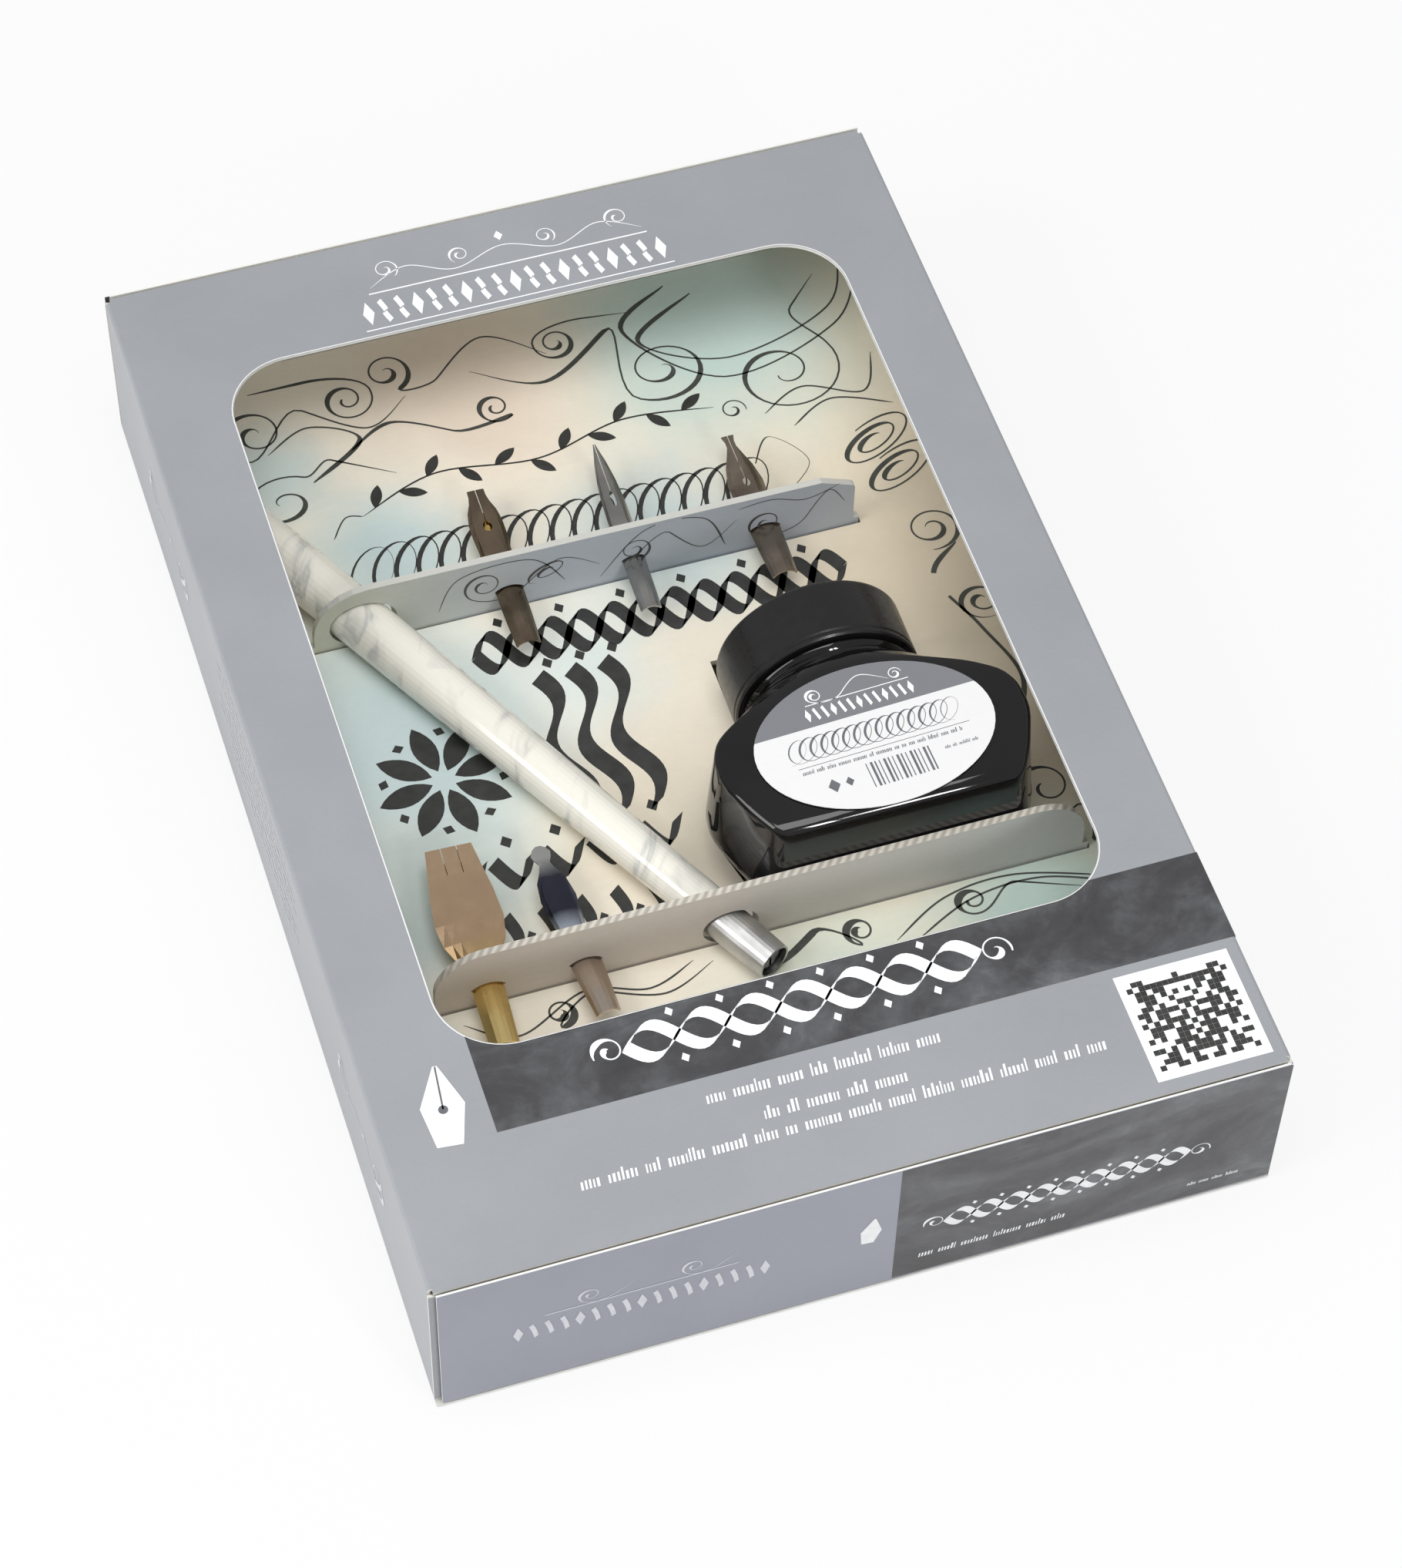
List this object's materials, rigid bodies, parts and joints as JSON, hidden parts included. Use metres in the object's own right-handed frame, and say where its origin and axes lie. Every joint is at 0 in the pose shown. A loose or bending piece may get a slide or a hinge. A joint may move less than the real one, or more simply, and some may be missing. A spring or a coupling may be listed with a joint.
{
  "type": "calligraphy set box",
  "caption": "Windowed folding carton holding a nib holder, nibs and a bottle of ink on a printed insert, with tuck-in end closures that open.",
  "frame": {"origin": "middle of the carton's base, at the outer face of its back panel", "axes": "+Z out of the window, +Y along the carton's length towards its top end, +X to the right seen with the window towards the viewer and the top end up"},
  "size_m": [0.1344, 0.2, 0.0336],
  "materials": {
    "carton_sleeve": "satin printed board",
    "bottom_closure": "satin printed board",
    "top_closure": "satin printed board",
    "bottom_tuck_tab": "plain board",
    "top_tuck_tab": "plain board",
    "bottom_left_dust_flap": "plain board",
    "bottom_right_dust_flap": "plain board",
    "top_left_dust_flap": "plain board",
    "top_right_dust_flap": "plain board",
    "display_card": "printed fine-flute board",
    "cradle": "grey fine-flute board",
    "holder_body": "cream lacquer, faint marbling",
    "holder_ferrule": "satin",
    "nib_grip": "dull",
    "nib_stub": "bronzed",
    "nib_pointed": "bright",
    "nib_flared": "bronzed",
    "nib_poster": "coppered",
    "nib_disc": "blued",
    "stub_reservoir": "bright",
    "poster_under_plate": "bright",
    "disc_reservoir": "bright",
    "ink_bottle": "clear glass full of black ink",
    "bottle_label": "satin",
    "cap_liner": "plain board",
    "bottle_cap": "black"
  },
  "bodies": {
    "carton": {"carton_sleeve": "carton_sleeve", "display_card": "display_card", "cradle": "cradle"},
    "bottom_closure": {"bottom_closure": "bottom_closure"},
    "top_closure": {"top_closure": "top_closure"},
    "bottom_tuck_tab": {"bottom_tuck_tab": "bottom_tuck_tab"},
    "top_tuck_tab": {"top_tuck_tab": "top_tuck_tab"},
    "bottom_left_dust_flap": {"bottom_left_dust_flap": "bottom_left_dust_flap"},
    "bottom_right_dust_flap": {"bottom_right_dust_flap": "bottom_right_dust_flap"},
    "top_left_dust_flap": {"top_left_dust_flap": "top_left_dust_flap"},
    "top_right_dust_flap": {"top_right_dust_flap": "top_right_dust_flap"},
    "nib_holder": {"holder_body": "holder_body", "holder_ferrule": "holder_ferrule", "nib_grip": "nib_grip"},
    "nib_stub": {"nib_stub": "nib_stub", "stub_reservoir": "stub_reservoir"},
    "nib_pointed": {"nib_pointed": "nib_pointed"},
    "nib_flared": {"nib_flared": "nib_flared"},
    "nib_poster": {"nib_poster": "nib_poster", "poster_under_plate": "poster_under_plate"},
    "nib_disc": {"nib_disc": "nib_disc", "disc_reservoir": "disc_reservoir"},
    "ink_bottle": {"ink_bottle": "ink_bottle", "bottle_label": "bottle_label"},
    "cap_liner": {"cap_liner": "cap_liner"},
    "bottle_cap": {"bottle_cap": "bottle_cap"}
  },
  "joints": [
    {"name": "bottom_closure_fold", "type": "hinge", "parent": "carton", "child": "bottom_closure", "pos_m": [0, -0.09975, 0.03335], "axis": [-1, 0, 0], "range_deg": [0, 110]},
    {"name": "bottom_tuck_fold", "type": "hinge", "parent": "bottom_closure", "child": "bottom_tuck_tab", "pos_m": [0, -0.09895, 0.00105], "axis": [-1, 0, 0], "range_deg": [-88, 0]},
    {"name": "bottom_left_flap_fold", "type": "hinge", "parent": "carton", "child": "bottom_left_dust_flap", "pos_m": [-0.067, -0.09895, 0.0168], "axis": [0, 0, -1], "range_deg": [0, 27.5]},
    {"name": "bottom_right_flap_fold", "type": "hinge", "parent": "carton", "child": "bottom_right_dust_flap", "pos_m": [0.067, -0.09895, 0.0168], "axis": [0, 0, 1], "range_deg": [0, 27.5]},
    {"name": "top_closure_fold", "type": "hinge", "parent": "carton", "child": "top_closure", "pos_m": [0, 0.09975, 0.03335], "axis": [1, 0, 0], "range_deg": [0, 110]},
    {"name": "top_tuck_fold", "type": "hinge", "parent": "top_closure", "child": "top_tuck_tab", "pos_m": [0, 0.09895, 0.00105], "axis": [1, 0, 0], "range_deg": [-88, 0]},
    {"name": "top_left_flap_fold", "type": "hinge", "parent": "carton", "child": "top_left_dust_flap", "pos_m": [-0.067, 0.09895, 0.0168], "axis": [0, 0, 1], "range_deg": [0, 27.5]},
    {"name": "top_right_flap_fold", "type": "hinge", "parent": "carton", "child": "top_right_dust_flap", "pos_m": [0.067, 0.09895, 0.0168], "axis": [0, 0, -1], "range_deg": [0, 27.5]},
    {"name": "holder_slide", "type": "slide", "parent": "carton", "child": "nib_holder", "axis": [0.4709, -0.8821, -0.0131], "range_m": [0, 0.008]},
    {"name": "nib_stub_slide", "type": "slide", "parent": "carton", "child": "nib_stub", "axis": [0.0105, 0.9999, 0], "range_m": [0, 0.0135]},
    {"name": "nib_pointed_slide", "type": "slide", "parent": "carton", "child": "nib_pointed", "axis": [0.0279, 0.9996, 0], "range_m": [0, 0.0126]},
    {"name": "nib_flared_slide", "type": "slide", "parent": "carton", "child": "nib_flared", "axis": [-0.0105, 0.9999, 0], "range_m": [0, 0.0121]},
    {"name": "nib_poster_slide", "type": "slide", "parent": "carton", "child": "nib_poster", "axis": [0.0419, 0.9991, 0], "range_m": [0, 0.0127]},
    {"name": "nib_disc_slide", "type": "slide", "parent": "carton", "child": "nib_disc", "axis": [-0.0558, 0.9984, 0], "range_m": [0, 0.0119]},
    {"name": "bottle_lift", "type": "slide", "parent": "carton", "child": "ink_bottle", "axis": [-0.0797, 0, 0.9968], "range_m": [0, 0.04]},
    {"name": "cap_rise", "type": "slide", "parent": "ink_bottle", "child": "cap_liner", "axis": [0, 1, 0], "range_m": [0, 0.00525]},
    {"name": "cap_turn", "type": "hinge", "parent": "cap_liner", "child": "bottle_cap", "pos_m": [0.0272, 0, 0.01665], "axis": [0, 1, 0], "range_deg": [0, 540]}
  ],
  "couplings": [
    {"joint": "bottom_tuck_fold", "follows": "bottom_closure_fold", "ratio": -0.8},
    {"joint": "bottom_left_flap_fold", "follows": "bottom_closure_fold", "ratio": 0.25},
    {"joint": "bottom_right_flap_fold", "follows": "bottom_closure_fold", "ratio": 0.25},
    {"joint": "top_tuck_fold", "follows": "top_closure_fold", "ratio": -0.8},
    {"joint": "top_left_flap_fold", "follows": "top_closure_fold", "ratio": 0.25},
    {"joint": "top_right_flap_fold", "follows": "top_closure_fold", "ratio": 0.25},
    {"joint": "cap_rise", "follows": "cap_turn", "m_per_rad": 0.00055704}
  ]
}
